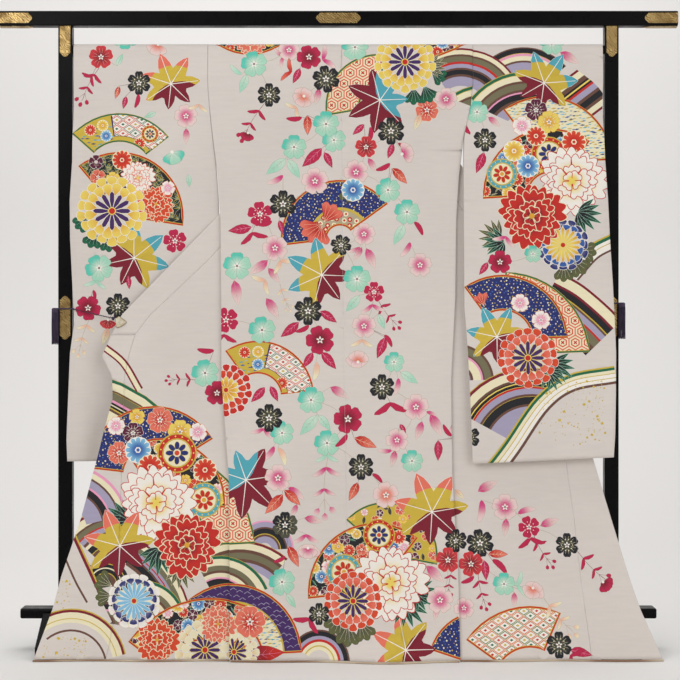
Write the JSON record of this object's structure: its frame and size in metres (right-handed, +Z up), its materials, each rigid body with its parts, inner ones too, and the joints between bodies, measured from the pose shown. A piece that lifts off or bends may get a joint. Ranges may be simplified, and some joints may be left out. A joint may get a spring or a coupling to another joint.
{
  "type": "furisode kimono on a kimono stand",
  "caption": "Long-sleeved kimono hung by a rod through both sleeves on a lacquered stand, fronts swung open and hem spread on the floor.",
  "frame": {"origin": "on the floor, under the middle of the bounding box", "axes": "+Z up, +X to the right when facing the back of the kimono, -Y towards the viewer of that back"},
  "size_m": [1.74, 0.3626, 1.635],
  "materials": {
    "printed_silk": "pale satin silk crepe with a dyed and gold-touched pattern",
    "hem_lining": "rolled hem of the lining silk",
    "black_lacquer": "black lacquered wood, half gloss",
    "gilt_metal": "engraved gilt plate, aged",
    "purple_silk": "dark purple twisted silk cord",
    "clip_enamel": "ivory fan clip with gilt edge"
  },
  "bodies": {
    "root": {"back_left": "printed_silk", "back_right": "printed_silk", "front_left": "printed_silk", "front_right": "printed_silk", "overlap_left": "printed_silk", "overlap_right": "printed_silk", "collar_left": "printed_silk", "collar_right": "printed_silk", "collar_neck": "printed_silk", "sleeve_left": "printed_silk", "sleeve_right": "printed_silk", "hem_back": "hem_lining", "hem_left": "hem_lining", "hem_right": "hem_lining", "top_bar": "black_lacquer", "lower_bar": "black_lacquer", "sleeve_rod": "black_lacquer", "post_left": "black_lacquer", "post_right": "black_lacquer", "foot_left": "black_lacquer", "foot_right": "black_lacquer", "bar_plate_front_left": "gilt_metal", "bar_plate_front_middle": "gilt_metal", "bar_plate_front_right": "gilt_metal", "bar_plate_rear_left": "gilt_metal", "bar_plate_rear_middle": "gilt_metal", "bar_plate_rear_right": "gilt_metal", "bar_plate_under_left": "gilt_metal", "bar_plate_under_right": "gilt_metal", "post_plate_front_left": "gilt_metal", "post_plate_front_right": "gilt_metal", "post_plate_rear_left": "gilt_metal", "post_plate_rear_right": "gilt_metal", "post_top_plate_front_left": "gilt_metal", "post_top_plate_front_right": "gilt_metal", "post_top_plate_rear_left": "gilt_metal", "post_top_plate_rear_right": "gilt_metal", "collar_clip": "clip_enamel", "cord_knot": "purple_silk", "cord_left": "purple_silk", "cord_right": "purple_silk", "tassel_left": "purple_silk", "tassel_right": "purple_silk"}
  },
  "joints": []
}
